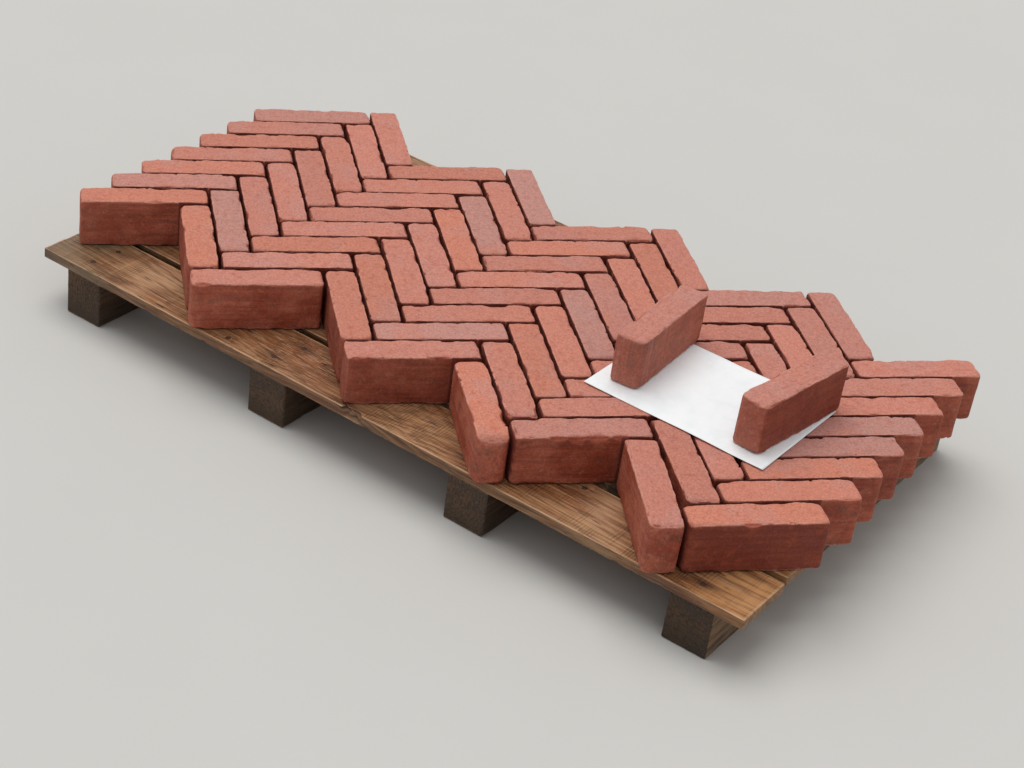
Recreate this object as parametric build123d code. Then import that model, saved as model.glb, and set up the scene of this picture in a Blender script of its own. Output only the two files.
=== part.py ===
from build123d import *
import os
from math import atan, cos, degrees, pi, radians, sin
from random import Random

# A pallet of clay pavers, laid out as a sample of herringbone paving.
# Millimetres. X runs along the deck boards, Y across them, Z up.
# The origin is on the floor under the middle of the pallet.

# Clay paver, standing on its long narrow side
brick_length = 200.0
brick_width = 48.0
brick_height = 80.0
brick_corner_radius = 10.0
flats_per_corner = 3
brick_arris = 3.0

# Laying of the pavers
joint_width = 2.0
shift_share = 0.22
turn_share = 0.14
laying_seed = 11
laying_angle = 47.8
first_brick_of_row = [0, -1, -1, -1, -1, -2, -1, -2, -1]
last_brick_of_row = 6

# The front paver of one row was knocked askew, and that of the next slid into the room it made
swung_row = 8
slid_row = 9
swing_angle = 4.5

# Deck of sawn boards
deck_length = 1280.0
board_count = 6
board_width = 108.0
board_thickness = 16.0
board_gap = 12.0
board_arris = 1.5

# Bearers under the deck, crosswise
bearer_width = 70.0
bearer_height = 77.0
bearer_end_inset = 46.0
bearer_setback = 2.0
bearer_arris = 3.0
bearer_nudges = [4.0, 12.0, 9.0, 4.0]

# Paper sheet on top of the paving
sheet_length = 297.0
sheet_width = 210.0
sheet_thickness = 0.5
sheet_corner_radius = 2.0
sheet_x = 384.0
sheet_y = -46.0
sheet_angle = -0.3

# The two spare pavers that hold the sheet down
left_brick_x = 273.0
left_brick_y = -20.0
left_brick_angle = 93.6
right_brick_x = 499.0
right_brick_y = -29.0
right_brick_angle = 82.6

# Heights, each resting on the one below
deck_underside = bearer_height
deck_top = deck_underside + board_thickness
paving_top = deck_top + brick_height
sheet_top = paving_top + sheet_thickness
deck_width = board_count * board_width + (board_count - 1) * board_gap


def softened_bar(length, width, height, arris):
    """A sawn bar along X, its four long edges eased, its underside at Z = 0."""
    section = Rectangle(width, height)
    section = chamfer(section.vertices(), arris)
    bar = extrude(Plane.YZ * section, length)
    return Pos(-length / 2, 0, height / 2) * bar


def brick_outline():
    """The paver in plan, along X. Each round corner is cut in flats, because the paver repeats so often."""
    points = []
    for corner, (side_x, side_y) in enumerate([(1, 1), (-1, 1), (-1, -1), (1, -1)]):
        centre_x = side_x * (brick_length / 2 - brick_corner_radius)
        centre_y = side_y * (brick_width / 2 - brick_corner_radius)
        for flat in range(flats_per_corner + 1):
            angle = (corner + flat / flats_per_corner) * pi / 2
            x = centre_x + brick_corner_radius * cos(angle)
            y = centre_y + brick_corner_radius * sin(angle)
            points.append((x, y))
    return make_face(Polyline(*points, close=True))


def brick():
    """A moulded paver along X: rounded upright corners, eased rims, underside at Z = 0."""
    body = extrude(brick_outline(), brick_height)
    rims = body.faces().sort_by(Axis.Z)[0].edges() + body.faces().sort_by(Axis.Z)[-1].edges()
    return chamfer(rims, brick_arris)


def herringbone_place(row, number):
    """Middle of a paver and its turn, in the bond's own axes.

    Even rows lie along the bond's X and odd rows along its Y. Each pair of rows
    starts one paver length further on, and each paver one width further on.
    """
    pitch_long = brick_length + joint_width
    pitch_short = brick_width + joint_width
    pair = row // 2
    if row % 2 == 0:
        corner_x = number * pitch_short + pair * pitch_long
        corner_y = number * pitch_short - pair * pitch_long
        return corner_x + brick_length / 2, corner_y + brick_width / 2, 0.0
    corner_x = number * pitch_short + (pair + 1) * pitch_long
    corner_y = (number + 1) * pitch_short - (pair + 1) * pitch_long
    return corner_x + brick_width / 2, corner_y + brick_length / 2, 90.0


def swung_out():
    """A swing about the rear inner corner, drawn out by as much as the rear outer one would dig in."""
    pivot_x = brick_length / 2 - brick_corner_radius
    pivot_y = brick_corner_radius - brick_width / 2
    digs_in = (brick_width - 2 * brick_corner_radius) * sin(radians(swing_angle))
    return Pos(pivot_x, pivot_y, 0) * Rot(0, 0, -swing_angle) * Pos(-pivot_x - digs_in, -pivot_y, 0)


def slid_along():
    """A slide along the paver's own length, by the room that the swung one leaves beside its end."""
    room = (brick_length - brick_width) * sin(radians(swing_angle))
    return Pos(-room, 0, 0)


def laid_rows():
    """The paving as a list of rows, each a list of pavers with the small play of hand laying."""
    chance = Random(laying_seed)
    shift = joint_width * shift_share
    turn = degrees(atan(joint_width * turn_share / (brick_length / 2)))
    askew = {swung_row: swung_out(), slid_row: slid_along()}
    paver = brick()
    rows = []
    for row, first in enumerate(first_brick_of_row):
        pavers = []
        for number in range(first, last_brick_of_row + 1):
            x, y, angle = herringbone_place(row, number)
            x += chance.uniform(-shift, shift)
            y += chance.uniform(-shift, shift)
            angle += chance.uniform(-turn, turn)
            place = Rot(0, 0, laying_angle) * Pos(x, y, 0) * Rot(0, 0, angle)
            if number == first and row + 1 in askew:
                place = place * askew[row + 1]
            pavers.append(place * paver)
        rows.append(pavers)
    return rows


def paving():
    """The rows, centred on the deck and standing on it."""
    rows = laid_rows()
    boxes = [paver.bounding_box() for row in rows for paver in row]
    middle_x = (min(box.min.X for box in boxes) + max(box.max.X for box in boxes)) / 2
    middle_y = (min(box.min.Y for box in boxes) + max(box.max.Y for box in boxes)) / 2
    onto_deck = Pos(-middle_x, -middle_y, deck_top)
    return [Compound(children=[onto_deck * paver for paver in row]) for row in rows]


def deck_boards():
    """The boards of the deck, from the front one to the rear one."""
    board = softened_bar(deck_length, board_width, board_thickness, board_arris)
    first_y = (board_width - deck_width) / 2
    pitch = board_width + board_gap
    return [Pos(0, first_y + number * pitch, deck_underside) * board for number in range(board_count)]


def bearers():
    """The bearers, from left to right, evenly spaced but for how far each was nailed off its place."""
    length = deck_width - 2 * bearer_setback
    bearer = Rot(0, 0, 90) * softened_bar(length, bearer_width, bearer_height, bearer_arris)
    first_x = bearer_end_inset + bearer_width / 2 - deck_length / 2
    pitch = -2 * first_x / (len(bearer_nudges) - 1)
    places = [first_x + number * pitch + nudge for number, nudge in enumerate(bearer_nudges)]
    return [Pos(x, 0, 0) * bearer for x in places]


def paper_sheet():
    """The flat sheet, lying on the paving."""
    outline = RectangleRounded(sheet_length, sheet_width, sheet_corner_radius)
    return Pos(sheet_x, sheet_y, paving_top) * Rot(0, 0, sheet_angle) * extrude(outline, sheet_thickness)


def spare_brick(x, y, angle):
    """A spare paver, standing on the sheet."""
    return Pos(x, y, sheet_top) * Rot(0, 0, angle) * brick()


os.makedirs("parts", exist_ok=True)

for number, bearer in enumerate(bearers(), 1):
    export_step(bearer, f"parts/bearer_{number}.step")

for number, board in enumerate(deck_boards(), 1):
    export_step(board, f"parts/deck_board_{number}.step")

for number, row in enumerate(paving(), 1):
    export_step(row, f"parts/brick_row_{number}.step")

export_step(paper_sheet(), "parts/paper_sheet.step")
export_step(spare_brick(left_brick_x, left_brick_y, left_brick_angle), "parts/spare_brick_left.step")
export_step(spare_brick(right_brick_x, right_brick_y, right_brick_angle), "parts/spare_brick_right.step")
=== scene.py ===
import math

import bmesh
import bpy
import numpy as np
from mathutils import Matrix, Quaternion, Vector


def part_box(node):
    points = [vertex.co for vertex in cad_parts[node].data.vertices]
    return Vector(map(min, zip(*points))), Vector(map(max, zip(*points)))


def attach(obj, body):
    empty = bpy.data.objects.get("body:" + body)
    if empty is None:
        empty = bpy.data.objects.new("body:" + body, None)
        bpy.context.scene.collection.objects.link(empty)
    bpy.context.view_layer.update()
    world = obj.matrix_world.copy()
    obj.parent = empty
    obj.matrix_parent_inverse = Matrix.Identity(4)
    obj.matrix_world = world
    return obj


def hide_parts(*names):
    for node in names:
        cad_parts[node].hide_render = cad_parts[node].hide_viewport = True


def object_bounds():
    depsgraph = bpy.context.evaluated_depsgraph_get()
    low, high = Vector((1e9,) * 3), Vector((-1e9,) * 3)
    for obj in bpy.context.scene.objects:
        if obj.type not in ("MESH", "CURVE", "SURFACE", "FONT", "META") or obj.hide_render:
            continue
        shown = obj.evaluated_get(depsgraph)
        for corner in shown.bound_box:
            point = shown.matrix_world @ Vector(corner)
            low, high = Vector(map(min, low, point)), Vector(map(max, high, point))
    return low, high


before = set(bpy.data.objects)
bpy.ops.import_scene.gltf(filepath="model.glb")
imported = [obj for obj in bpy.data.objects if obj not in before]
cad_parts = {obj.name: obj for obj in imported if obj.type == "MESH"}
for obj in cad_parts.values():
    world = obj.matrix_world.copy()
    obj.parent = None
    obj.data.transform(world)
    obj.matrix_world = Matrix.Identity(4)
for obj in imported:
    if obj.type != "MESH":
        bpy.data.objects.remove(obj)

cad_low, cad_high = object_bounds()      # the solids' box, before any piece is added


# Bearers
# Four lengths of sawn softwood, laid across under the deck, which is nailed down onto them.
# They are rough from the saw and dark with damp, and their ends show the growth rings.

bearer_names = sorted(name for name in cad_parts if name.startswith("bearer_"))
bearer_arris = 0.0025
bearer_grid = {"along": 120, "across": 14, "walls": 12, "faces": 6}
bearer_pith = [(-0.052, 0.012), (0.018, -0.046), (0.060, 0.024), (-0.030, 0.055)]
bearer_seeds = [40, 50, 60, 70]
green_at_foot = 0.5
fresh_last_side = 0.6
# How much darker the last bearer's front end is drawn.
darker_last_end = 0.75

waves_in_a_field = 22
wavelength_spread = (0.7, 1.5)
arc_steps = 3
end_run = 0.03
rim_play = 0.3
rim_play_run = 0.05
face_crowding = 0.7
merge_distance = 0.00001

saw_scale = 66.0            # a stroke of the saw every 4.8 mm
pith_wander = 0.006
log_step, log_length = 0.37, 5
knot_spread = 1.6
iron_run, iron_width = 0.016, 0.0055
sawn_wave_depth, sawn_wave_size = 0.00020, 0.03
sawn_lump_depth, sawn_lump_size = 0.00010, 0.009
torn_depth, torn_size, torn_reach = 0.0010, 0.014, 0.004


def lumps(points, size, seed, stretch=(1.0, 1.0, 1.0)):
    """A smooth random field over points, with a mean of 0 and a standard deviation of 1.

    It is a sum of plane waves with random headings and phases, each of a wavelength near size,
    over points squeezed along each axis by stretch.
    """
    chance = np.random.default_rng(seed)
    heading = chance.normal(size=(waves_in_a_field, 3))
    heading /= np.linalg.norm(heading, axis=1, keepdims=True)
    rate = 2 * math.pi / (size * chance.uniform(*wavelength_spread, waves_in_a_field))
    phase = chance.uniform(0, 2 * math.pi, waves_in_a_field)
    squeezed = points / np.array(stretch)
    field = np.zeros(points.shape[:-1])
    for direction, pace, start in zip(heading, rate, phase):
        field += np.sin(squeezed @ direction * pace + start)
    return field / math.sqrt(waves_in_a_field / 2)


def ease(value, low, high):
    """0 up to low, 1 from high on, and a smooth cubic step between them."""
    share = np.clip((value - low) / (high - low), 0, 1)
    return share * share * (3 - 2 * share)


def facing_back(outward, axis):
    """1 where the skin faces back along an axis, 0 where it doesn't, and a soft step at the arris."""
    return ease(-outward[..., axis], 0.4, 0.9)


def bar_skin(size, corner, rim, end_rim, along, across, walls, faces, seed):
    """The skin of a number of bars that lie along X, their middles at the origin, as rings round them.

    A ring is the outline in plan: four sides, and four arcs of the corner radii. The rings start as
    the middle line of the top, go out to the rim, over it in a quarter circle, down the wall, and
    round the lower rim back to the middle line of the underside. The rim's radius is rim along the
    sides, with a little play, and end_rim at the ends. size is (bars, 3), corner is (bars, 4), and
    rim and end_rim are (bars, 1). A side has along steps, an end has across, the wall has walls,
    and the way from the rim to the middle line has faces. Gives each point's place, its outward
    direction, and how far it lies from where the rim's edge would be if it were sharp.
    """
    half = size[:, None, :] / 2
    turn = np.linspace(0, math.pi / 2, arc_steps + 1)
    signs = [(1, 1), (-1, 1), (-1, -1), (1, -1)]
    arcs = []
    for quarter, sign in enumerate(signs):
        radius = corner[:, quarter, None, None]
        angle = quarter * math.pi / 2 + turn
        way = np.stack([np.cos(angle), np.sin(angle)], -1)
        arcs.append(np.array(sign) * (half[..., :2] - radius) + radius * way)
    outline, angles, middles = [], [], []
    for quarter, steps in enumerate([along, across, along, across]):
        share = np.arange(1, steps)[:, None] / steps
        start, end = arcs[quarter][:, -1:], arcs[(quarter + 1) % 4][:, :1]
        outline += [arcs[quarter], start + (end - start) * share]
        angles += [quarter * math.pi / 2 + turn, np.full(steps - 1, (quarter + 1) * math.pi / 2)]
        here, there = signs[quarter][0], signs[(quarter + 1) % 4][0]
        middles += [np.full(arc_steps + 1, float(here)), here + (there - here) * share[:, 0]]
    outline = np.concatenate(outline, 1)
    angles, middles = np.concatenate(angles), np.concatenate(middles)

    near_end = ease(np.abs(outline[..., 0]), half[..., 0] - end_run, half[..., 0])
    spots = np.concatenate([outline, np.zeros_like(outline[..., :1])], -1)
    play = 1 + rim_play * np.clip(lumps(spots, rim_play_run, seed), -1.5, 1.5) * (1 - near_end)
    radius = (rim * play + (end_rim - rim) * near_end)[..., None]

    inward = 1 - (np.arange(faces) / faces) ** face_crowding
    level = np.full(faces, math.pi / 2)
    over = np.linspace(math.pi / 2, 0, arc_steps + 1)
    down = np.cos(np.linspace(0, math.pi, walls + 1))[1:-1]
    lift = np.concatenate([level, over, 0 * down, -over[::-1], -level])
    side = np.concatenate([np.ones(faces + arc_steps + 1), down, -np.ones(faces + arc_steps + 1)])
    inward = np.concatenate([inward, np.zeros(2 * arc_steps + walls + 1), inward[::-1]])

    facing = np.stack([np.cos(angles), np.sin(angles)], -1)[None, :, None, :]
    edge_line = outline[:, :, None, :] - facing * (radius * (1 - np.cos(lift)))[..., None]
    middle_line = np.stack([(half[..., 0] - half[..., 1]) * middles, np.zeros_like(outline[..., 0])], -1)
    flat = edge_line + (middle_line[:, :, None, :] - edge_line) * inward[:, None]
    height = (half[..., 2:] - radius) * side + radius * np.sin(lift)
    place = np.concatenate([flat, height[..., None]], -1)
    rising = np.broadcast_to(np.sin(lift)[:, None], place.shape[:-1] + (1,))
    outward = np.concatenate([facing * np.cos(lift)[:, None] * np.ones_like(flat), rising], -1)
    inset = np.linalg.norm(flat - outline[:, :, None, :], axis=-1)
    edge = np.hypot(inset, half[..., 2:] - np.abs(height))
    return place, outward, edge


def turned(points, angle):
    """The points turned about Z, by one angle for each bar."""
    angle = np.reshape(angle, (-1,) + (1,) * (points.ndim - 2))
    x, y = points[..., 0], points[..., 1]
    turned_x, turned_y = x * np.cos(angle) - y * np.sin(angle), x * np.sin(angle) + y * np.cos(angle)
    return np.stack([turned_x, turned_y, points[..., 2]], -1)


def ring_faces(shape):
    """Four-sided faces between neighbours in a grid of bars, points round a ring, and rings."""
    index = np.arange(math.prod(shape)).reshape(shape)
    beside = np.roll(index, -1, axis=1)
    corners = [index[..., :-1], index[..., 1:], beside[..., 1:], beside[..., :-1]]
    return np.stack(corners, -1).reshape(-1, 4)


def sewn_up(mesh, fill=False):
    """Merges a mesh's doubled points, and closes what is then still open where fill is set."""
    shell = bmesh.new()
    shell.from_mesh(mesh)
    bmesh.ops.remove_doubles(shell, verts=shell.verts, dist=merge_distance)
    if fill:
        bmesh.ops.holes_fill(shell, edges=shell.edges, sides=0)
    shell.to_mesh(mesh)
    shell.free()


def set_down(name, data):
    """A new object at the origin, linked into the scene."""
    thing = bpy.data.objects.new(name, data)
    bpy.context.scene.collection.objects.link(thing)
    return thing


def piece_of(name, place, values, finish, node):
    """One smooth mesh of all the bars in place, which stands for a node of the frame.

    The faces between the rings point outwards, and the doubled points on the middle lines are
    merged, which closes the skin. values holds one number or vector for each point, by name.
    """
    quads = ring_faces(place.shape[:3])
    mesh = bpy.data.meshes.new(name)
    mesh.vertices.add(place[..., 0].size)
    mesh.vertices.foreach_set("co", place.astype(np.float32).ravel())
    mesh.loops.add(quads.size)
    mesh.loops.foreach_set("vertex_index", quads.ravel().astype(np.int32))
    mesh.polygons.add(len(quads))
    mesh.polygons.foreach_set("loop_start", np.arange(0, quads.size, 4, dtype=np.int32))
    mesh.update(calc_edges=True)
    for key, value in values.items():
        field = np.broadcast_to(value, place.shape[:-1] + np.shape(value)[place.ndim - 1:])
        vector = field.ndim == place.ndim
        layer = mesh.attributes.new(key, "FLOAT_VECTOR" if vector else "FLOAT", "POINT")
        layer.data.foreach_set("vector" if vector else "value", field.astype(np.float32).ravel())
    sewn_up(mesh)
    mesh.polygons.foreach_set("use_smooth", np.ones(len(mesh.polygons), dtype=bool))
    mesh.materials.append(finish)
    piece = set_down(name, mesh)
    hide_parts(node)
    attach(piece, "root")


def screen(red, green, blue):
    """A colour given as a screen shows it, 0 to 255, as the linear values that a shader takes."""
    share = np.array([red, green, blue]) / 255
    linear = np.where(share <= 0.04045, share / 12.92, ((share + 0.055) / 1.055) ** 2.4)
    return (*linear.tolist(), 1.0)


class Finish:
    """A material in the making. Each method adds one node and gives back its output."""

    def __init__(self, name):
        self.material = bpy.data.materials.new(name)
        self.material.use_nodes = True
        self.tree = self.material.node_tree
        self.tree.nodes.clear()

    def add(self, kind, inputs, output=0, **settings):
        """Any node, with a plain value or another node's output on each of its inputs."""
        node = self.tree.nodes.new("ShaderNode" + kind)
        for key, value in settings.items():
            setattr(node, key, value)
        for key, value in inputs.items():
            if isinstance(value, bpy.types.NodeSocket):
                self.tree.links.new(value, node.inputs[key])
            else:
                node.inputs[key].default_value = value
        return node.outputs[output]

    def value(self, name):
        """The number that each point of the mesh holds under this name."""
        return self.add("Attribute", {}, "Fac", attribute_name=name)

    def vector(self, name):
        """The vector that each point of the mesh holds under this name."""
        return self.add("Attribute", {}, "Vector", attribute_name=name)

    def squeeze(self, where, x, y, z):
        """The place times one factor for each axis, which makes a pattern on it so much finer."""
        return self.add("VectorMath", {0: where, 1: (x, y, z)}, operation="MULTIPLY")

    def noise(self, where, scale, detail=3.0, roughness=0.55):
        """A cloudy field from 0 to 1, mostly near 0.5, with scale clouds to the metre."""
        inputs = {"Vector": where, "Scale": scale, "Detail": detail, "Roughness": roughness}
        return self.add("TexNoise", inputs, "Fac")

    def cells(self, where, scale):
        """How far it is to the nearest of strewn points, scale of them to the metre."""
        return self.add("TexVoronoi", {"Vector": where, "Scale": scale}, "Distance")

    def maths(self, operation, first, second=0.0):
        """The named operation on one number or two."""
        return self.add("Math", {0: first, 1: second}, operation=operation)

    def plus(self, first, second):
        """The sum of two numbers."""
        return self.maths("ADD", first, second)

    def times(self, first, second):
        """The product of two numbers."""
        return self.maths("MULTIPLY", first, second)

    def step(self, value, low, high, start=0.0, end=1.0):
        """start where value is low, end where it is high, and a smooth cubic step between them."""
        inputs = {"Value": value, "From Min": low, "From Max": high, "To Min": start, "To Max": end}
        return self.add("MapRange", inputs, interpolation_type="SMOOTHSTEP")

    def mix(self, share, first, second):
        """The first colour where share is 0, and the second where it is 1."""
        return self.add("MixRGB", {"Fac": share, "Color1": first, "Color2": second})

    def bump(self, height, depth, below=None):
        """A relief of height times depth in metres, laid over the relief below."""
        inputs = {"Height": height, "Distance": depth, "Strength": 1.0}
        if below is not None:
            inputs["Normal"] = below
        return self.add("Bump", inputs)

    def shade(self, **inputs):
        """The surface itself. Gives back the finished material."""
        named = {key.replace("_", " "): value for key, value in inputs.items()}
        surface = self.add("BsdfPrincipled", named)
        self.tree.links.new(surface, self.tree.nodes.new("ShaderNodeOutputMaterial").inputs["Surface"])
        return self.material


def grained(wood, grain, along, across, detail=2.0, roughness=0.55):
    """A cloudy field with so many clouds to the metre along the grain and across it."""
    return wood.noise(wood.squeeze(grain, along, across, across), 1.0, detail, roughness)


def timber_finish(name, pale, brown, late, stain, green, fresh, bare, ring_gap, ring_share, damp):
    """Sawn softwood: growth rings as distance from the pith, fibres along the grain, and saw marks
    across it. Worn arrises and dry places are bleached, the pale arrises partly as a painted
    highlight, knots and nail holes stained, one end is green with age and the other fresh and bright,
    on the boards partly as a painted wet reflection. The boards' upright faces are darkened as
    painted shade, the last bearer's front end is darkened too, and damp gives gloss."""
    wood = Finish(name)
    grain = wood.vector("grain")
    upright_darkening = wood.value("upright_darkening")
    knot = wood.value("knot")
    drift = grained(wood, grain, 3.0, 22.0)
    uneven = grained(wood, grain, 0.6, 95.0)
    patch = grained(wood, grain, 4.0, 14.0, 3.0)
    streak = grained(wood, grain, 9.0, 150.0, 3.0, 0.6)
    strand = grained(wood, grain, 11.0, 360.0, 2.0, 0.6)
    fibre = grained(wood, grain, 14.0, 700.0, 3.0, 0.65)
    dash = grained(wood, grain, 26.0, 260.0, 1.0, 0.4)

    section = wood.squeeze(grain, 0.0, 1.0, 1.0)
    distance = wood.add("VectorMath", {0: section}, "Value", operation="LENGTH")
    bent = wood.plus(distance, wood.times(drift, 0.012))
    bent = wood.plus(bent, wood.times(uneven, 1.1 * ring_gap))
    bent = wood.plus(bent, wood.times(knot, 0.010))
    ring = wood.maths("FRACT", wood.maths("DIVIDE", bent, ring_gap))
    late_band = wood.times(wood.step(ring, 0.35, 0.9), wood.step(ring, 1.0, 0.94))

    saw_inputs = {"Vector": wood.squeeze(grain, 1.0, 0.3, 0.3), "Scale": saw_scale, "Distortion": 5.0,
                  "Detail": 2.0, "Detail Scale": 0.8}
    saw = wood.add("TexWave", saw_inputs, "Fac", bands_direction="X")
    stroke = grained(wood, grain, 75.0, 7.0)
    sawn = wood.times(wood.step(saw, 0.25, 0.85), wood.step(stroke, 0.36, 0.62, 0.1, 1.0))
    left_rough = wood.step(wood.noise(grain, 9.0, 2.0), 0.36, 0.56)
    left_rough = wood.times(left_rough, wood.step(upright_darkening, 0.2, 0.8, 1.0, 0.3))
    sawn = wood.times(sawn, left_rough)

    body = wood.mix(wood.step(patch, 0.36, 0.66), brown, pale)
    body = wood.mix(wood.step(streak, 0.42, 0.72, 0.0, 0.75), body, late)
    body = wood.mix(wood.times(late_band, ring_share), body, late)
    body = wood.mix(wood.times(sawn, 0.45), body, late)
    body = wood.mix(wood.step(strand, 0.54, 0.70, 0.0, 0.45), body, late)
    body = wood.mix(wood.step(strand, 0.46, 0.32, 0.0, 0.55), body, bare)
    body = wood.mix(wood.step(fibre, 0.5, 0.75, 0.0, 0.4), body, pale)
    dried = wood.times(wood.value("dry"), wood.step(streak, 0.66, 0.40, 0.25, 0.85))
    body = wood.mix(wood.times(dried, wood.step(sawn, 0.1, 0.8, 1.0, 0.4)), body, bare)
    mould = wood.times(wood.value("green"), wood.step(patch, 0.3, 0.6, 0.45, 1.0))
    body = wood.mix(mould, body, green)
    bright = wood.times(wood.value("fresh"), wood.step(streak, 0.62, 0.44, 0.3, 1.0))
    body = wood.mix(bright, body, fresh)
    # Pale worn arrises: wear, and partly a painted highlight along the arris.
    worn = wood.step(wood.value("edge"), 0.0048, 0.0016)
    worn = wood.times(worn, wood.step(streak, 0.7, 0.4, 0.35, 0.9))
    worn = wood.times(worn, wood.step(upright_darkening, 0.45, 0.8, 1.0, 0.2))
    body = wood.mix(worn, body, bare)
    body = wood.mix(wood.step(dash, 0.69, 0.76, 0.0, 0.85), body, stain)
    body = wood.mix(wood.step(knot, 0.55, 0.85, 0.0, 0.8), body, stain)
    iron = wood.times(wood.value("iron"), wood.step(streak, 0.2, 0.6, 0.35, 0.8))
    iron = wood.times(iron, wood.step(wood.value("green"), 0.1, 0.7, 1.0, 0.3))
    body = wood.mix(iron, body, stain)
    # Upright faces darkened: painted shade on the boards, and the last bearer's darker front end.
    body = wood.add("HueSaturation", {"Color": body, "Value": wood.step(upright_darkening, 0.3, 0.9, 1.0, 0.66)})

    fine = wood.bump(fibre, 0.0008)
    sawn_relief = wood.bump(sawn, -0.0007, fine)
    ridges = wood.plus(streak, wood.times(late_band, 0.6))
    ridged = wood.bump(ridges, 0.0012, sawn_relief)
    gloss = wood.step(patch, 0.3, 0.7, damp, damp + 0.25)
    return wood.shade(Base_Color=body, Roughness=gloss, Normal=ridged, Specular_IOR_Level=0.45)


def timber_values(local, edge, pith, seed, knots=(), nails=(), green=0.0, fresh=0.0, dry=0.0, upright_darkening=0.0):
    """What the timber finish reads at each point of a bar.

    grain is its place from the pith, which wanders along the bar, in a part of the log that the seed
    picks. knot and iron fall off as bell curves about each knot (x, y, radius) and each nail (x, y).
    edge is how far it is from the arris, and green, fresh, dry and the darkening of upright faces are shares
    from 0 to 1.
    """
    wander_y = pith_wander * lumps(local * (1, 0, 0), 0.5, seed)
    wander_z = pith_wander * lumps(local * (1, 0, 0), 0.4, seed + 1)
    grain = local - np.stack([0 * wander_y, wander_y + pith[0], wander_z + pith[1]], -1)
    grain = grain + (seed * log_step % log_length, 0, 0)
    knot = np.zeros(edge.shape)
    for x, y, radius in knots:
        off_knot = (local[..., 0] - x) ** 2 + (local[..., 1] - y) ** 2
        knot = np.maximum(knot, np.exp(-off_knot / (radius * knot_spread) ** 2))
    iron = np.zeros(edge.shape)
    for x, y in nails:
        run, off = (local[..., 0] - x) / iron_run, (local[..., 1] - y) / iron_width
        iron = np.maximum(iron, np.exp(-run ** 2 - off ** 2))
    return {"grain": grain, "edge": edge, "knot": knot, "iron": iron, "green": green, "fresh": fresh,
            "dry": dry, "upright_darkening": upright_darkening}


def rough_sawn(place, outward, edge, seed):
    """Pulls the skin in by the unevenness of sawn timber: long waves with the grain, small lumps,
    and torn fibres here and there along the arris."""
    long_waves = sawn_wave_depth * (1 + lumps(place, sawn_wave_size, seed, (9, 1, 1)) / 2)
    small = sawn_lump_depth * (1 + lumps(place, sawn_lump_size, seed + 1, (3, 1, 1)) / 2)
    tears = np.clip(lumps(place, torn_size, seed + 2, (2.5, 1, 1)) - 1.1, 0, 1.5)
    torn = torn_depth * tears * np.exp(-(edge / torn_reach) ** 2)
    return place - outward * (long_waves + small + torn)[..., None]


bearer_finish = timber_finish(
    "damp_sawn_bearer", pale=screen(100, 72, 48), brown=screen(70, 49, 32), late=screen(42, 30, 21),
    stain=screen(28, 22, 19), green=screen(55, 45, 33), fresh=screen(158, 124, 90), bare=screen(112, 86, 63),
    ring_gap=0.0062, ring_share=0.3, damp=0.55)

for number, name in enumerate(bearer_names):
    low, high = (np.array(corner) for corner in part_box(name))
    size = (high - low)[[1, 0, 2]]
    corner, arris = np.full((1, 4), bearer_arris), np.full((1, 1), bearer_arris)
    local, outward, edge = bar_skin(size[None], corner, arris, arris, **bearer_grid, seed=number)
    seed = bearer_seeds[number]
    shaped = rough_sawn(local, outward, edge, seed)
    shaped[..., 2] = np.maximum(shaped[..., 2], -size[2] / 2)      # nothing sinks into the ground
    last = number == len(bearer_names) - 1
    values = timber_values(local, edge, bearer_pith[number], seed,
                           green=ease(-local[..., 2], -0.01, 0.035) * green_at_foot,
                           fresh=fresh_last_side * facing_back(outward, 1) if last else 0.0,
                           upright_darkening=darker_last_end * facing_back(outward, 0) if last else 0.0)
    place = turned(shaped, [math.pi / 2]) + (low + high) / 2
    piece_of(f"sawn_bearer_{number + 1}", place, values, bearer_finish, name)


# Deck boards
# Six sawn softwood boards, laid side by side with gaps and nailed through into each bearer.
# They are brown and wet, with dark grain, paler worn arrises that are partly a painted highlight, an older
# grey-green left end and brighter right ends that are partly a painted wet reflection. Their upright faces
# are darker with painted shade.
# At the right the rear ones were sawn off a little shorter than the front one.

board_names = sorted(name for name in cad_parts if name.startswith("deck_board_"))
board_arris = 0.0011
board_corner = 0.002
board_trims = [0.0, 0.004, 0.010, 0.013, 0.016, 0.022]
front_board_grid = {"along": 380, "across": 20, "walls": 5, "faces": 12}
other_board_grid = {"along": 230, "across": 20, "walls": 5, "faces": 9}
board_seeds = [100, 110, 120, 130, 140, 150]
board_rim_seed = 20

# Each break in the top front arris: its middle, half its run, how far in it goes and how far down
broken_places = {0: (-0.0145, 0.0175, 0.0075, 0.0170), 1: (0.358, 0.034, 0.0045, 0.0080)}
break_end_run = 0.003
ragged_run, ragged_run_size = 0.0012, 0.008
ragged_share, ragged_share_size = 0.25, 0.010

# The pith from the board's middle, across and up, and each knot's x, y and radius
board_pith = [(0.016, -0.050), (-0.034, -0.060), (0.050, -0.040), (-0.010, 0.070), (0.030, -0.045),
              (-0.050, -0.055)]
board_knots = [
    [(-0.267, -0.037, 0.005), (0.328, 0.038, 0.005), (0.530, 0.012, 0.006)],
    [(0.362, -0.052, 0.014), (-0.430, 0.020, 0.010)],
    [(-0.560, 0.010, 0.011), (0.100, 0.0, 0.009)],
    [(0.560, -0.020, 0.010), (-0.200, 0.025, 0.008)],
    [(-0.480, -0.018, 0.009), (0.330, 0.012, 0.012)],
    [(0.180, 0.020, 0.010), (-0.350, -0.022, 0.012), (0.545, 0.018, 0.008)],
]

# Where the timber has aged or dried: the front board's dry places have an x, a reach and a share
end_share = 0.75
green_end = (0.46, 0.62)
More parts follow.
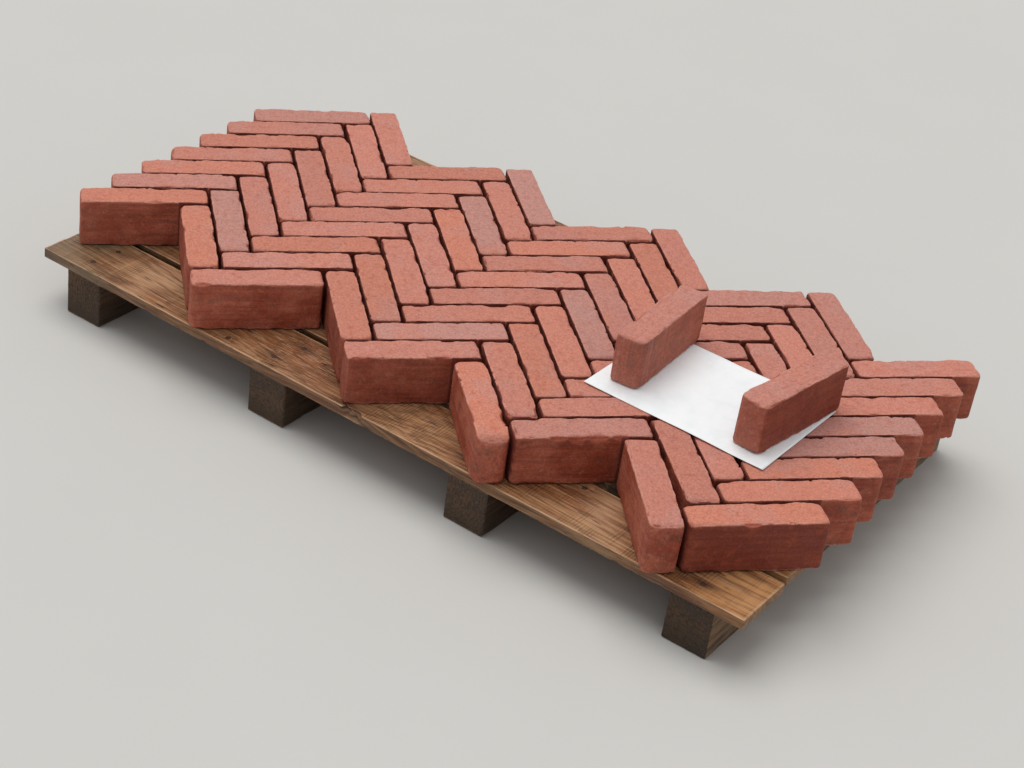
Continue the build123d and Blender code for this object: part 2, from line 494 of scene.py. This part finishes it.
# The right ends are drawn brighter and yellower: fresh wood, and a painted wet reflection.
fresh_and_sheen_end = (0.53, 0.62)
end_drift, end_drift_size = 0.03, 0.12
dry_share, dry_size = 0.4, 0.13
dry_places = {0: [(-0.590, 0.05, 0.3), (-0.440, 0.06, 0.6), (0.020, 0.04, 0.35), (0.395, 0.045, 0.65)]}

nail_offset_y = 0.025
nail_play_x = 0.018
nail_play_y = 0.004
nail_seed = 7
front_board_nails = {1: (-0.0127, 0.0033), 2: (-0.0213, 0.0060)}


def nail_places(board_low, board_high, known):
    """Two nails in each bearer, one near each side of the board, where the hammer happened to set
    them. known gives how far off the bearer's middle a pair stands, by the bearer's number."""
    chance = np.random.default_rng(nail_seed + round(1000 * abs(board_low[1])))
    middle_y = (board_low[1] + board_high[1]) / 2
    spots = []
    for number, bearer in enumerate(bearer_names):
        low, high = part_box(bearer)
        off = known.get(number, chance.uniform(-nail_play_x, nail_play_x, 2))
        for side, along in zip((-1, 1), off):
            y = middle_y + side * nail_offset_y + chance.uniform(-nail_play_y, nail_play_y)
            spots.append(((low.x + high.x) / 2 + along, y))
    return spots


def broken_arris(place, middle, half_run, depth, drop):
    """Breaks a run out of the top front arris. What stands in front of the break is pushed back to
    it: it lies depth behind the front face, reaches down by drop, and has steep ragged ends."""
    run = np.abs(place[..., 0] - middle) + ragged_run * lumps(place, ragged_run_size, 5)
    top = place[..., 2].max()
    bite = ease(half_run - run, 0, break_end_run) * ease(place[..., 2], top - drop, top - 0.6 * drop)
    ragged = 1 + ragged_share * lumps(place, ragged_share_size, 6)
    place[..., 1] = np.maximum(place[..., 1], place[..., 1].min() + depth * bite * ragged)
    return place


board_finish = timber_finish(
    "wet_sawn_board", pale=screen(179, 130, 86), brown=screen(147, 91, 51), late=screen(84, 47, 26),
    stain=screen(38, 24, 17), green=screen(104, 103, 78), fresh=screen(204, 147, 93),
    bare=screen(202, 160, 122), ring_gap=0.0062, ring_share=0.42, damp=0.36)
all_nails = []

for number, name in enumerate(board_names):
    low, high = (np.array(corner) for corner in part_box(name))
    high[0] -= board_trims[number]
    middle = (low + high) / 2
    corner, arris = np.full((1, 4), board_corner), np.full((1, 1), board_arris)
    grid = other_board_grid if number else front_board_grid
    local, outward, edge = bar_skin((high - low)[None], corner, arris, arris, **grid,
                                    seed=board_rim_seed + number)
    seed = board_seeds[number]
    nails = nail_places(low, high, {} if number else front_board_nails)
    all_nails += nails
    shaped = rough_sawn(local, outward, edge, seed)
    if number in broken_places:
        shaped = broken_arris(shaped, *broken_places[number])
    drifting = local[..., 0] + end_drift * lumps(local, end_drift_size, seed + 3)
    dry = 0.0
    if number not in dry_places:
        dry = dry_share * ease(lumps(local, dry_size, seed + 4, (1.5, 0.8, 1)), 0.2, 1.6)
    for x, reach, share in dry_places.get(number, []):
        dry = np.maximum(dry, share * np.exp(-((drifting - x) / reach) ** 2))
    # The boards' upright faces are darkened: painted shade.
    values = timber_values(local, edge, board_pith[number], seed, board_knots[number],
                           [(x - middle[0], y - middle[1]) for x, y in nails],
                           green=end_share * ease(-drifting, *green_end),
                           fresh=end_share * ease(drifting, *fresh_and_sheen_end),
                           dry=dry, upright_darkening=1 - np.abs(outward[..., 2]))
    piece_of(f"sawn_board_{number + 1}", shaped + middle, values, board_finish, name)


# Nails
# Round wire nails, driven flush through the boards into the bearers, two at each crossing.
# Their flat steel heads have gone dark with rust.

nail_head_radius = 0.0042
nail_head_rise = 0.0004
nail_head_depth = 0.0015
nail_head_sides = 16
ring_reach = np.array([0.0, 0.45, 0.8, 0.97, 1.0, 1.0])
ring_fall = np.array([0.0, 0.05, 0.15, 0.45, 1.0, 3.0]) / 3.0


def head_skins(centres):
    """Nail heads as rings: a nearly flat top, a rounded rim, and a wall that goes down into the wood.

    A ring's radius is its share of the head's, and its height falls by its share of the way from
    rise above the centre to depth below it.
    """
    angle = np.arange(nail_head_sides) * 2 * math.pi / nail_head_sides
    x = nail_head_radius * np.cos(angle)[:, None] * ring_reach
    y = nail_head_radius * np.sin(angle)[:, None] * ring_reach
    z = np.broadcast_to(nail_head_rise - (nail_head_rise + nail_head_depth) * ring_fall, x.shape)
    return np.array(centres)[:, None, None, :] + np.stack([x, y, z], -1)


rust = Finish("rusty_nail_steel")
rust_place = rust.add("TexCoord", {}, "Object")
rust_mottle = rust.noise(rust_place, 900.0, 4.0)
rust_colour = rust.mix(rust.step(rust_mottle, 0.4, 0.62), screen(46, 38, 36), screen(92, 58, 40))
rust_finish = rust.shade(Base_Color=rust_colour, Roughness=rust.step(rust_mottle, 0.3, 0.7, 0.45, 0.8),
                         Metallic=0.4, Normal=rust.bump(rust_mottle, 0.0003))

deck_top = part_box(board_names[0])[1].z
heads = head_skins([(x, y, deck_top) for x, y in all_nails])
nail_mesh = bpy.data.meshes.new("nail_heads")
nail_mesh.from_pydata(heads.reshape(-1, 3).tolist(), [], ring_faces(heads.shape[:3]).tolist())
sewn_up(nail_mesh, fill=True)
nail_mesh.materials.append(rust_finish)
nail_heads = set_down("nail_heads", nail_mesh)
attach(nail_heads, "root")


# Laid pavers
# Slim pavers of red clay, moulded and fired, laid by hand on their long narrow side in single
# herringbone. Each came out of the kiln with its own size, tone, round corners and chipped rims.

row_names = sorted((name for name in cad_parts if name.startswith("brick_row_")),
                   key=lambda name: int(name.rsplit("_", 1)[1]))
paver_size = np.array([0.200, 0.048, 0.080])
paver_grid = {"along": 58, "across": 8, "walls": 12, "faces": 5}
laying_turn = math.radians(47.8)
joint_reach = 0.006
tone_seed = 900
skin_seed = 300

# What the kiln and the mould leave to chance, as the least and the most
shrinkage = ([0, 0.0003, 0], [0.0020, 0.0012, 0.0010])
rim_radius = (0.0020, 0.0033)
end_rim_radius = (0.0024, 0.0052)
corner_over_rim = (0.0004, 0.0050)
end_bow = (0.0004, 0.0018)
wear_of_ends = (0.003, 0.009)

# How deep the unevenness and the wear go, how wide their lumps are, and how far in from the rims
broad_depth, broad_size = 0.0003, 0.055
small_depth, small_size = 0.00016, 0.015
drag_depth, drag_size = 0.00014, 0.012
wavy_depth, wavy_size = 0.00045, 0.019
dent_depth, dent_size = 0.0020, 0.030
chip_depth, chip_size = 0.0032, 0.011
nibble_depth, nibble_size = 0.0006, 0.006
rim_reach, nibble_reach = 0.0045, 0.0025
bowed_run = 0.02
end_rim_wear = 0.15
field_reach = 8

# Known marks, by row and by number in the row from the front. A worn end is the radius at +X and
# at -X, a dent is x, inset, two reaches and depth, and a flake is x, side and three reaches.
mauve_pavers = {(2, 1), (4, 5), (4, 7), (5, 1), (6, 4), (9, 3), (9, 4)}
orange_pavers = {(2, 0), (3, 2), (4, 1), (4, 4), (6, 0), (6, 2), (9, 0), (9, 2)}
worn_ends = {(6, 0): (0.024, 0.006), (7, 0): (0.006, 0.012), (9, 0): (0.010, 0.007), (1, 0): (0.006, 0.008)}
dented_tops = {
    (9, 0): [(-0.017, 0.010, 0.013, 0.006, 0.0022)],
    (6, 0): [(0.072, 0.030, 0.010, 0.008, 0.0022), (0.050, 0.044, 0.014, 0.008, 0.0026)],
}
flaked_rims = {
    (7, 0): [(-0.038, -1, 0.013, 0.0048, 0.0110), (-0.012, -1, 0.014, 0.0056, 0.0150),
             (0.018, -1, 0.017, 0.0068, 0.0130), (0.050, -1, 0.013, 0.0050, 0.0100)],
    (9, 0): [(-0.012, -1, 0.014, 0.0052, 0.0080)],
    (6, 0): [(0.046, 1, 0.012, 0.0055, 0.0070), (0.020, 1, 0.010, 0.0040, 0.0060)],
    (3, 0): [(-0.082, -1, 0.014, 0.0060, 0.0070)],
}
# How much darker and redder each front paver's sides are drawn: partly damp clay, partly painted shade.
damp_and_shaded_sides = {(1, 0): 0.0, (2, 0): 0.2, (3, 0): 0.0, (4, 0): 0.5, (5, 0): 0.6, (6, 0): 0.2, (7, 0): 0.1,
              (8, 0): 0.1, (9, 0): 1.0}
dry_sides = {(1, 0): 0.08, (3, 0): 0.05}


def pavers_in(node, heading):
    """Middle in plan and turn of each paver in a node of the frame, from the front one to the rear.

    Corners at one place are one point, and each point takes the lowest label among the points it
    shares a triangle with until nothing changes, so that each solid ends up with a label of its
    own. Its points' mean is its middle, and their longest spread is its length.
    """
    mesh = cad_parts[node].data
    corners = np.zeros((len(mesh.vertices), 3))
    mesh.vertices.foreach_get("co", corners.ravel())
    points, same = np.unique(np.round(corners, 6), axis=0, return_inverse=True)
    triangles = same.reshape(-1)[np.array([face.vertices for face in mesh.polygons])]
    label, settled = np.arange(len(points)), False
    while not settled:
        lowest = label[triangles].min(1)
        spread = label.copy()
        np.minimum.at(spread, triangles, lowest[:, None])
        settled = np.array_equal(spread, label)
        label = spread
    length_way = np.array([math.cos(heading), math.sin(heading)])
    found = []
    for solid in np.unique(label):
        own = points[label == solid, :2]
        middle = own.mean(0)
        longest = np.linalg.eigh(np.cov((own - middle).T))[1][:, -1]
        longest *= np.sign(longest @ length_way)
        found.append((middle[1], middle[0], math.atan2(longest[1], longest[0])))
    found = np.array(sorted(found))
    return found[:, [1, 0]], found[:, 2]


def rounded_off(place, half, worn):
    """Takes the top edges of each bar's +X and -X ends down to quarter circles of its own two radii."""
    for side, radius in zip((1, -1), np.moveaxis(worn[:, None, None], -1, 0)):
        from_axis_x = radius - (half[..., 0] - side * place[..., 0])
        from_axis_z = radius - (half[..., 2] - place[..., 2])
        reach = np.hypot(from_axis_x, from_axis_z)
        outside = (from_axis_x > 0) & (from_axis_z > 0) & (reach > radius)
        pull = np.where(outside, 1 - radius / np.maximum(reach, 1e-9), 0)
        place = place - np.stack([side * from_axis_x * pull, 0 * pull, from_axis_z * pull], -1)
    return place


def dents_in(local, half, dents):
    """How deep the larger dents go: each is a round hollow about a point on the top, given by the
    bar's number, the point's x, how far it is in from the -Y rim, its two reaches and its depth."""
    depth = np.zeros(local.shape[:-1])
    for bar, x, inset, reach_x, reach_y, deep in dents:
        y, z = local[bar, ..., 1] + half[bar, ..., 1] - inset, half[bar, ..., 2] - local[bar, ..., 2]
        hollow = np.exp(-((local[bar, ..., 0] - x) / reach_x) ** 2 - (y ** 2 + z ** 2) / reach_y ** 2)
        depth[bar] += deep * hollow
    return depth


def flaked(place, half, flakes):
    """Breaks flakes off the top rims: what stands outside a sloping plane is moved back onto it.

    A flake is given by the bar's number, its middle x, the rim's side, and its reaches along the
    rim, into the top and down the side. The last two shrink along the rim as a half ellipse does.
    Gives the new places, and how far each was moved.
    """
    moved = np.zeros(place.shape[:-1])
    for bar, x, side, reach_x, reach_y, reach_z in flakes:
        own = place[bar]
        span = np.sqrt(np.clip(1 - ((own[..., 0] - x) / reach_x) ** 2, 0, 1))
        in_from_rim = (half[bar, ..., 1] - side * own[..., 1]) / reach_y
        down_from_top = (half[bar, ..., 2] - own[..., 2]) / reach_z
        outside = np.clip(span - in_from_rim - down_from_top, 0, 1)
        own[..., 1] -= side * outside * reach_y / 2
        own[..., 2] -= outside * reach_z / 2
        moved[bar] = np.maximum(moved[bar], outside * reach_y)
    return place, moved


def paver_skins(count, seed, worn, dents_known=(), flakes=()):
    """Moulded pavers along X, standing on Z = 0, each with its own shrinkage, corners and wear.

    On the plain bar the top edges of the ends are rounded off by worn, flakes are broken off, and
    each is pulled in by broad lumps, by drag lines along its faces, by bowed ends, by long shallow
    dents along the rims, and by chips where a random field passes a limit close to the rims.
    Gives the places, the outward directions and the values that the clay's finish reads.
    """
    chance = np.random.default_rng(seed)
    size = paver_size - chance.uniform(*shrinkage, (count, 3))
    rim = chance.uniform(*rim_radius, (count, 1))
    end_rim = chance.uniform(*end_rim_radius, (count, 1)) + end_rim_wear * worn.max(1, keepdims=True)
    corner = end_rim + chance.uniform(*corner_over_rim, (count, 4))
    local, outward, edge = bar_skin(size, corner, rim, end_rim, **paver_grid, seed=seed)
    own = local + chance.uniform(-field_reach, field_reach, (count, 1, 1, 3))
    half = size[:, None, None, :] / 2
    across = np.clip(local[..., 1] / half[..., 1], -1, 1)
    ends = ease(np.abs(local[..., 0]), half[..., 0] - bowed_run, half[..., 0])
    bow = chance.uniform(*end_bow, (count, 1, 1)) * across ** 2 * ends

    broad = broad_depth * (1 + lumps(own, broad_size, seed + 1) / 2)
    small = small_depth * (1 + lumps(own, small_size, seed + 2) / 2)
    drag = drag_depth * (1 + lumps(own, drag_size, seed + 3, (6, 1, 1)) / 2)
    near_rim = np.exp(-(edge / rim_reach) ** 2)
    wavy = wavy_depth * lumps(own, wavy_size, seed + 7, (1.3, 1, 2)) * near_rim
    dents = np.clip(lumps(own, dent_size, seed + 4, (1.6, 1, 1)) - 0.6, 0, 1.6) * near_rim
    chips = np.clip(lumps(own, chip_size, seed + 5) - 1.5, 0, 1) * near_rim
    nibbles = np.clip(lumps(own, nibble_size, seed + 6) - 0.2, 0, 1) * np.exp(-(edge / nibble_reach) ** 2)
    dented = dents_in(local, half, dents_known)
    plain, broken = flaked(rounded_off(local, half, worn), half, flakes)
    sound = 1 - ease(broken, 0, 0.0015)

    worn_rim = sound * (wavy + dent_depth * dents)
    depth = broad + small + drag + worn_rim + chip_depth * chips + nibble_depth * nibbles + dented
    shaped = plain - outward * np.maximum(depth, 0)[..., None]
    shaped[..., 0] -= np.sign(shaped[..., 0]) * bow
    shaped[..., 2] += half[..., 2]
    # Upright corners count as rims too, so they take the pale rims, partly a painted highlight.
    upright = np.hypot(half[..., 0] - np.abs(local[..., 0]), half[..., 1] - np.abs(local[..., 1]))
    edge = np.minimum(edge, upright + 0.0012) + 2 * broken
    raw = np.clip(dents + 2 * chips + 250 * dented + 600 * broken, 0, 1)
    return shaped, outward, {"clay": own, "edge": edge, "chip": raw}


def facing_others(place, outward, own, middles, turns):
    """1 where the skin of a paver faces another across a joint, and 0 where it is free or level.
    The finish paints shade there, on the walls and rims in the joints.

    Each point is pushed out level by joint_reach, and tested against the rectangle of every paver
    but its own, given by its middle in plan and its turn.
    """
    level = outward * (1, 1, 0)
    level = level / np.maximum(np.linalg.norm(level, axis=-1, keepdims=True), 1e-9)
    probe = place + joint_reach * level
    facing = np.zeros(place.shape[:-1], dtype=bool)
    for number, (middle, turn) in enumerate(zip(middles, turns)):
        from_middle = np.abs(turned(probe - (*middle, 0), np.full(len(probe), -turn)))
        inside = (from_middle[..., 0] < paver_size[0] / 2) & (from_middle[..., 1] < paver_size[1] / 2)
        facing |= inside & (own[:, None, None] != number)
    return facing * ease(np.abs(outward[..., 2]), 1.0, 0.6)


def paver_finish():
    """Fired clay: salmon red on the tops and deep red on the sides, with drag lines, smudges and the
    runs of rain. The tops are paler as dust and as painted sky sheen, and the sides darker as painted
    shade, and darker and redder still by damp, which is partly painted shade too. Over it go mottles,
    dry dust, rubbed pale rims that are partly a painted highlight, raw red chips, painted shade on the
    walls in the joints, iron specks, grit and small pits."""
    clay = Finish("fired_clay")
    where = clay.vector("clay")
    tone = clay.value("tone")
    damp = clay.value("damp")
    joint = clay.value("joint")
    bloom = clay.noise(where, 13.0, 2.0)
    cloud = clay.noise(where, 26.0, 3.0)
    mottle = clay.noise(where, 95.0, 4.0, 0.6)
    grit = clay.noise(where, 270.0, 3.0, 0.7)
    sand = clay.noise(where, 620.0, 3.0, 0.7)
    drag = clay.noise(clay.squeeze(where, 9.0, 160.0, 160.0), 1.0, 3.0, 0.6)
    smudge = clay.noise(clay.squeeze(where, 22.0, 22.0, 55.0), 1.0, 3.0)
    drip = clay.noise(clay.squeeze(where, 120.0, 120.0, 9.0), 1.0, 2.0)

    orange_top, salmon_top, mauve_top = screen(203, 124, 100), screen(198, 125, 108), screen(189, 134, 124)
    top = clay.mix(clay.step(tone, 0.0, 1.0), salmon_top, orange_top)
    top = clay.mix(clay.step(tone, 0.0, -1.0), top, mauve_top)
    top = clay.mix(clay.step(bloom, 0.52, 0.68, 0.0, 0.55), top, mauve_top)
    top = clay.mix(clay.step(bloom, 0.46, 0.32, 0.0, 0.5), top, orange_top)

    # The sides' colours are deeper and darker than the tops': painted shade on the upright faces.
    side = clay.mix(clay.step(cloud, 0.35, 0.65), screen(156, 67, 41), screen(172, 82, 54))
    side = clay.mix(clay.step(drag, 0.45, 0.68, 0.0, 0.75), side, screen(126, 50, 33))
    side = clay.mix(clay.step(drag, 0.44, 0.30, 0.0, 0.35), side, screen(190, 104, 80))
    side = clay.mix(clay.step(smudge, 0.54, 0.70, 0.0, 0.6), side, screen(114, 56, 39))
    side = clay.mix(clay.step(smudge, 0.42, 0.28, 0.0, 0.5), side, screen(184, 98, 74))
    # Darker and redder where damp is set: damp clay, and on some front pavers' sides painted shade.
    side = clay.mix(clay.times(damp, 0.65), side, screen(102, 35, 20))
    rained_on = clay.times(clay.value("rained_on"), clay.step(smudge, 0.36, 0.60, 0.25, 1.0))
    dark_runs = clay.times(rained_on, clay.step(drip, 0.47, 0.64))
    pale_runs = clay.times(rained_on, clay.step(drip, 0.44, 0.30))
    side = clay.mix(dark_runs, side, screen(100, 42, 35))
    side = clay.mix(pale_runs, side, screen(196, 124, 110))
    side = clay.mix(clay.value("dry"), side, screen(186, 122, 104))

    # Tops take the top colour and sides the side colour, by the way the surface faces: painted light and sky
    # sheen on the tops, painted shade on the sides.
    upward = clay.add("SeparateXYZ", {0: clay.add("NewGeometry", {}, "Normal")}, "Z")
    painted_light_on_tops = clay.step(clay.plus(upward, clay.times(mottle, 0.3)), 0.45, 0.95)
    body = clay.mix(painted_light_on_tops, side, top)
    wet_face = clay.times(damp, clay.maths("SUBTRACT", 1.0, painted_light_on_tops))
    dusty = clay.step(wet_face, 0.3, 1.0, 1.0, 0.15)
    broad_dust = clay.times(dusty, clay.step(cloud, 0.3, 0.7, 0.0, 0.2))
    fine_dust = clay.times(dusty, clay.step(mottle, 0.46, 0.28, 0.0, 0.22))
    body = clay.mix(broad_dust, body, screen(214, 146, 124))
    body = clay.mix(clay.step(mottle, 0.5, 0.75, 0.0, 0.45), body, screen(172, 84, 60))
    body = clay.mix(fine_dust, body, screen(212, 144, 122))
    # Pale rubbed rims: wear, and partly a painted highlight along the rims and upright corners.
    rubbed_and_highlit = clay.times(clay.step(clay.value("edge"), 0.0042, 0.0016),
                        clay.step(mottle, 0.35, 0.65, 0.2, 0.65))
    # Pale rims fade in the joints, where shade is painted.
    rubbed_and_highlit = clay.times(rubbed_and_highlit, clay.step(joint, 0.1, 0.6, 1.0, 0.2))
    body = clay.mix(rubbed_and_highlit, body, screen(222, 154, 134))
    body = clay.mix(clay.step(clay.value("chip"), 0.2, 0.9, 0.0, 0.6), body, screen(172, 80, 55))
    # Painted shade on the walls in the joints: dark red-brown.
    body = clay.mix(clay.step(joint, 0.1, 0.9, 0.0, 0.8), body, screen(102, 38, 26))
    body = clay.mix(clay.step(clay.cells(where, 210.0), 0.16, 0.08, 0.0, 0.6), body, screen(74, 44, 42))
    grains = clay.times(clay.step(grit, 0.3, 0.7, 0.85, 1.15),
                        clay.step(sand, 0.3, 0.7, 0.91, 1.09))
    shade = clay.times(clay.value("shade"), grains)
    body = clay.add("HueSaturation", {"Color": body, "Value": shade})

    pits = clay.step(clay.cells(where, 130.0), 0.16, 0.04)
    grain = clay.bump(sand, 0.0005)
    gritty = clay.bump(grit, 0.0009, grain)
    creased = clay.bump(drag, 0.0014, gritty)
    rolling = clay.bump(mottle, 0.0016, creased)
    pitted = clay.bump(pits, -0.0002, rolling)
    gloss = clay.step(cloud, 0.3, 0.7, 0.62, 0.86)
    return clay.shade(Base_Color=body, Roughness=gloss, Normal=pitted, Specular_IOR_Level=0.4)


clay_finish = paver_finish()

# Odd rows lie along the bond and even rows across it
laid = [pavers_in(name, laying_turn - (0 if row % 2 else math.pi / 2))
        for row, name in enumerate(row_names, 1)]
all_middles, all_turns = (np.concatenate(places) for places in zip(*laid))
pavers_before = 0

for row, (name, (middles, turns)) in enumerate(zip(row_names, laid), 1):
    chance = np.random.default_rng(tone_seed + row)
    numbers = range(len(middles))
    worn = np.array([worn_ends.get((row, number), chance.uniform(*wear_of_ends, 2)) for number in numbers])
    dents = [(number, *dent) for number in numbers for dent in dented_tops.get((row, number), [])]
    flakes = [(number, *flake) for number in numbers for flake in flaked_rims.get((row, number), [])]
    shaped, outward, values = paver_skins(len(middles), skin_seed + 10 * row, worn, dents, flakes)
    tone = chance.normal(0, 0.35, len(middles))
    tone = np.array([-0.9 if (row, number) in mauve_pavers else 0.8 if (row, number) in orange_pavers
                     else value for number, value in enumerate(tone)])
    shade = chance.uniform(0.93, 1.07, len(middles))
    damp = np.array([damp_and_shaded_sides.get((row, number), chance.uniform(0, 0.35)) for number in numbers])
    dry = np.array([dry_sides.get((row, number), 0.0) for number in numbers])
    values.update(tone=tone[:, None, None], shade=shade[:, None, None], damp=damp[:, None, None],
                  dry=dry[:, None, None], rained_on=0.0)

    # The corners are less round than the solids', and one would pass their box by a hair
    centres = np.concatenate([middles, np.full((len(middles), 1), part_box(name)[0].z)], 1)
    place = np.clip(turned(shaped, turns) + centres[:, None, None, :], cad_low, cad_high)
    # Where the walls face another paver across a joint, shade is painted on them.
    values["joint"] = facing_others(place, turned(outward, turns), pavers_before + np.arange(len(middles)),
                                    all_middles, all_turns)
    pavers_before += len(middles)
    piece_of(f"pavers_row_{row}", place, values, clay_finish, name)


# Spare pavers
# Two more of the same pavers, stood on the sheet to keep it from blowing away.
# Rain has run down the left one, whose front end has dried pale, and the right one is damp.

spare_wear = np.array([[0.007, 0.005]])
spare_tone = -0.35
spares = {
    "left": {"seed": 501, "dry_side": 0.30, "dry_end": 0.5, "damp_side": 0.0, "runs": 1.0},
    "right": {"seed": 502, "dry_side": 0.0, "dry_end": 0.4, "damp_side": 0.75, "runs": 0.15},
}

for side, spare in spares.items():
    node = f"spare_brick_{side}"
    middles, turns = pavers_in(node, math.pi / 2)
    shaped, outward, values = paver_skins(1, spare["seed"], spare_wear)
    front_end = facing_back(outward, 0)
    dry = spare["dry_side"] + (spare["dry_end"] - spare["dry_side"]) * front_end
    runs = spare["runs"] * ease(-shaped[..., 0], -0.08, 0.08)
    values.update(tone=spare_tone, shade=1.0, dry=dry, damp=spare["damp_side"] * (1 - front_end), joint=0.0,
                  rained_on=runs)
    place = turned(shaped, turns) + np.array([*middles[0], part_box(node)[0].z])
    piece_of(f"spare_paver_{side}", place, values, clay_finish, node)


# Paper sheet
# One plain white sheet, laid flat on the paving under the two spare pavers.
# Damp has cockled it a little between them.

sheet_low, sheet_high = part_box("paper_sheet")
sheet_size = (0.297, 0.210)
sheet_thickness = 0.0003
sheet_clearance = 0.0001
sheet_turn = math.radians(-0.3)
sheet_steps = (74, 52)
cockle_lift = 0.0007
cockle_run = 0.09


def cockled_sheet(length, width, steps_x, steps_y):
    """A flat grid, lifted by long low waves that grow from nothing at the middle to the free edges."""
    x, y = np.meshgrid(np.linspace(-length / 2, length / 2, steps_x + 1),
                       np.linspace(-width / 2, width / 2, steps_y + 1), indexing="ij")
    flat = np.stack([x, y, 0 * x], -1)
    free = ease(np.maximum(np.abs(x) / (length / 2), np.abs(y) / (width / 2)), 0.55, 1.0)
    lift = cockle_lift * (1 + lumps(flat, cockle_run, 61) / 2) * free
    return flat + np.stack([0 * x, 0 * x, np.clip(lift, 0, None)], -1)


paper = Finish("damp_white_paper")
paper_place = paper.add("TexCoord", {}, "Object")
fibres = paper.noise(paper_place, 700.0, 4.0, 0.6)
cockle = paper.noise(paper_place, 28.0, 2.0)
damp_tint = paper.mix(paper.step(cockle, 0.42, 0.68, 0.0, 0.5), screen(251, 253, 254), screen(238, 243, 246))
fibre_tint = paper.mix(paper.step(fibres, 0.3, 0.7, 0.0, 0.08), damp_tint, screen(210, 215, 217))
paper_finish = paper.shade(Base_Color=fibre_tint, Roughness=paper.step(cockle, 0.3, 0.7, 0.5, 0.7),
                           Normal=paper.bump(cockle, 0.004, paper.bump(fibres, 0.0001)))

grid = turned(cockled_sheet(*sheet_size, *sheet_steps)[None], [sheet_turn])[0]
grid += np.array([(sheet_low.x + sheet_high.x) / 2, (sheet_low.y + sheet_high.y) / 2,
                  sheet_low.z + sheet_clearance])
index = np.arange(grid[..., 0].size).reshape(grid.shape[:2])
quads = np.stack([index[:-1, :-1], index[1:, :-1], index[1:, 1:], index[:-1, 1:]], -1).reshape(-1, 4)
sheet_mesh = bpy.data.meshes.new("plain_sheet")
sheet_mesh.from_pydata(grid.reshape(-1, 3).tolist(), [], quads.tolist())
sheet_mesh.polygons.foreach_set("use_smooth", np.ones(len(quads), dtype=bool))
sheet_mesh.materials.append(paper_finish)
sheet = set_down("plain_sheet", sheet_mesh)
wall = sheet.modifiers.new("paper_thickness", "SOLIDIFY")
wall.thickness = sheet_thickness
wall.offset = 1.0
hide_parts("paper_sheet")
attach(sheet, "root")


# Floor
# A plain pale studio floor under the pallet, which isn't part of the object.

floor_reach = 30.0
floor_corners = [(-floor_reach, -floor_reach, 0), (floor_reach, -floor_reach, 0),
                 (floor_reach, floor_reach, 0), (-floor_reach, floor_reach, 0)]
floor_mesh = bpy.data.meshes.new("floor")
floor_mesh.from_pydata(floor_corners, [], [(0, 1, 2, 3)])
plain = Finish("pale_floor")
floor_mottle = plain.noise(plain.add("TexCoord", {}, "Object"), 3.0, 2.0)
floor_colour = plain.mix(floor_mottle, screen(204, 202, 198), screen(208, 206, 202))
floor_mesh.materials.append(plain.shade(Base_Color=floor_colour, Roughness=0.9))
floor = set_down("floor", floor_mesh)


# Light
# An overcast sky: one very wide soft source overhead, a little to the left and behind, and an
# even surround.

sky_place = Vector((-0.9, 0.3, 3.2))
sky_aim = Vector((0, 0, 0.1))
sky_width = math.radians(52)
sky_strength = 1.75
sky_colour = (1.0, 0.985, 0.96)
surround_colour = (0.96, 0.98, 1.0, 1.0)
surround_strength = 0.50

sky = bpy.data.lights.new("soft_sky", "SUN")
sky.angle = sky_width
sky.energy = sky_strength
sky.color = sky_colour
sky_lamp = set_down("soft_sky", sky)
sky_lamp.location = sky_place
sky_lamp.rotation_euler = (sky_aim - sky_place).to_track_quat("-Z", "Y").to_euler()

world = bpy.data.worlds.new("surround")
world.use_nodes = True
world.node_tree.nodes["Background"].inputs["Color"].default_value = surround_colour
world.node_tree.nodes["Background"].inputs["Strength"].default_value = surround_strength
bpy.context.scene.world = world
bpy.context.scene.view_settings.view_transform = "Standard"


# Camera
# It stands where the photograph was taken from, is turned towards the pallet, and leans
# as the pallet does in the photograph. The lens fills the 1024 by 768 frame with it.

camera_place = Vector((1.4256, -2.2718, 1.6780))
camera_aim = Vector((0.1068, -0.1325, 0.100))
camera_roll = math.radians(8.5)
camera_lens = 71.0
camera_film = 36.0

camera_data = bpy.data.cameras.new("camera")
camera_data.lens = camera_lens
camera_data.sensor_width = camera_film
camera = set_down("camera", camera_data)
camera.location = camera_place
level = (camera_aim - camera_place).to_track_quat("-Z", "Y")
camera.rotation_mode = "QUATERNION"
camera.rotation_quaternion = level @ Quaternion((0, 0, 1), camera_roll)
bpy.context.scene.camera = camera
